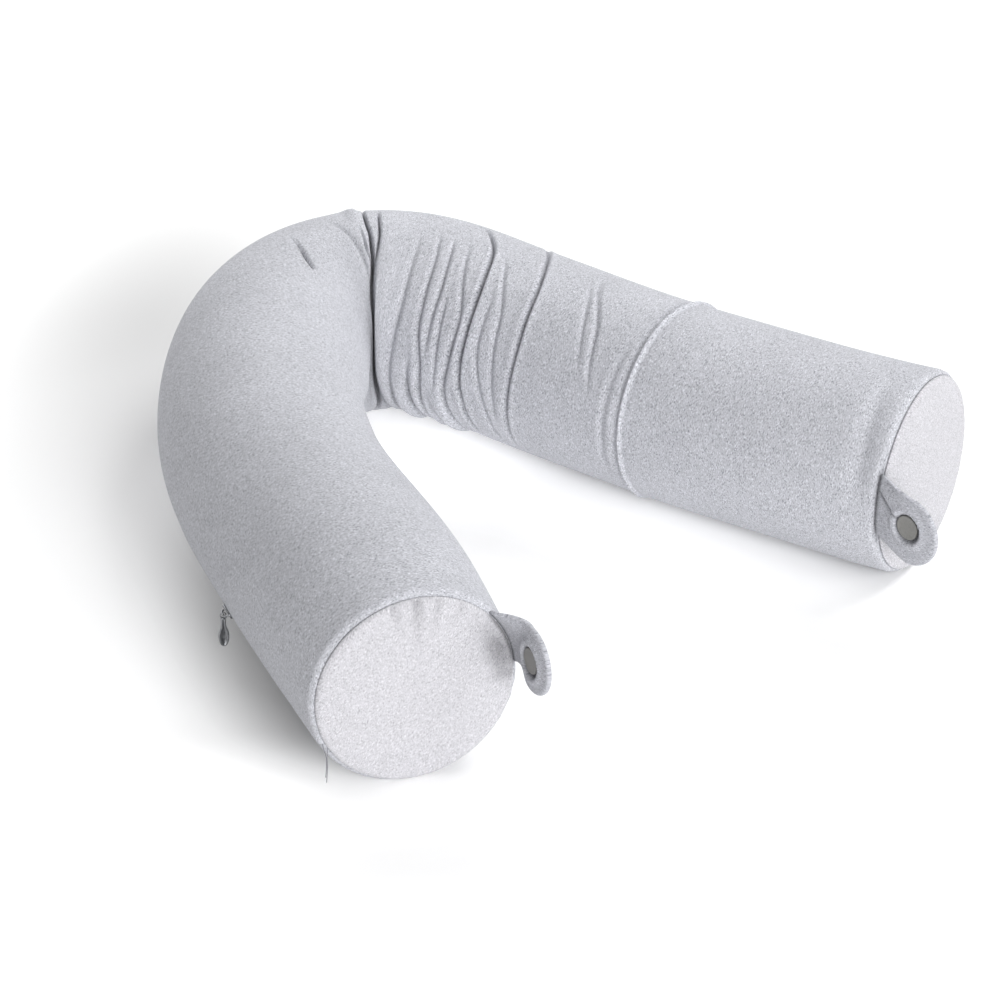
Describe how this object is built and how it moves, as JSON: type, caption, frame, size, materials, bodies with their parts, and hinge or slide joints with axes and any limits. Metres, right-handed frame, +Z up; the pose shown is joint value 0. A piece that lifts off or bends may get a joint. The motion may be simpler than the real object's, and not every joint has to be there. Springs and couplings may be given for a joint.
{
  "type": "bendable travel pillow",
  "caption": "Soft filled jersey roll bent into a U to support the neck, with sewn round ends, a snap tab at each end and a small zip pull.",
  "frame": {"origin": "middle of the part's box on the surface that it lies on", "axes": "+Z up, -Y out of the open side of the U, +X toward the arm with the ring ridge"},
  "size_m": [0.3848, 0.401, 0.0992],
  "materials": {
    "cover_jersey": "fine heathered jersey knit, matte",
    "end_jersey": "fine heathered jersey knit, matte",
    "tab_jersey": "fine heathered jersey knit, matte",
    "snap_plastic": "smooth, faint sheen",
    "zip_metal": "dark grey enamel, satin"
  },
  "bodies": {
    "root": {"cover_roll": "cover_jersey", "end_disc_near": "end_jersey", "end_disc_far": "end_jersey", "snap_tab_near": "tab_jersey", "snap_tab_far": "tab_jersey", "snap_near": "snap_plastic", "snap_far": "snap_plastic", "zip_slider": "zip_metal", "zip_pull": "zip_metal"}
  },
  "joints": []
}
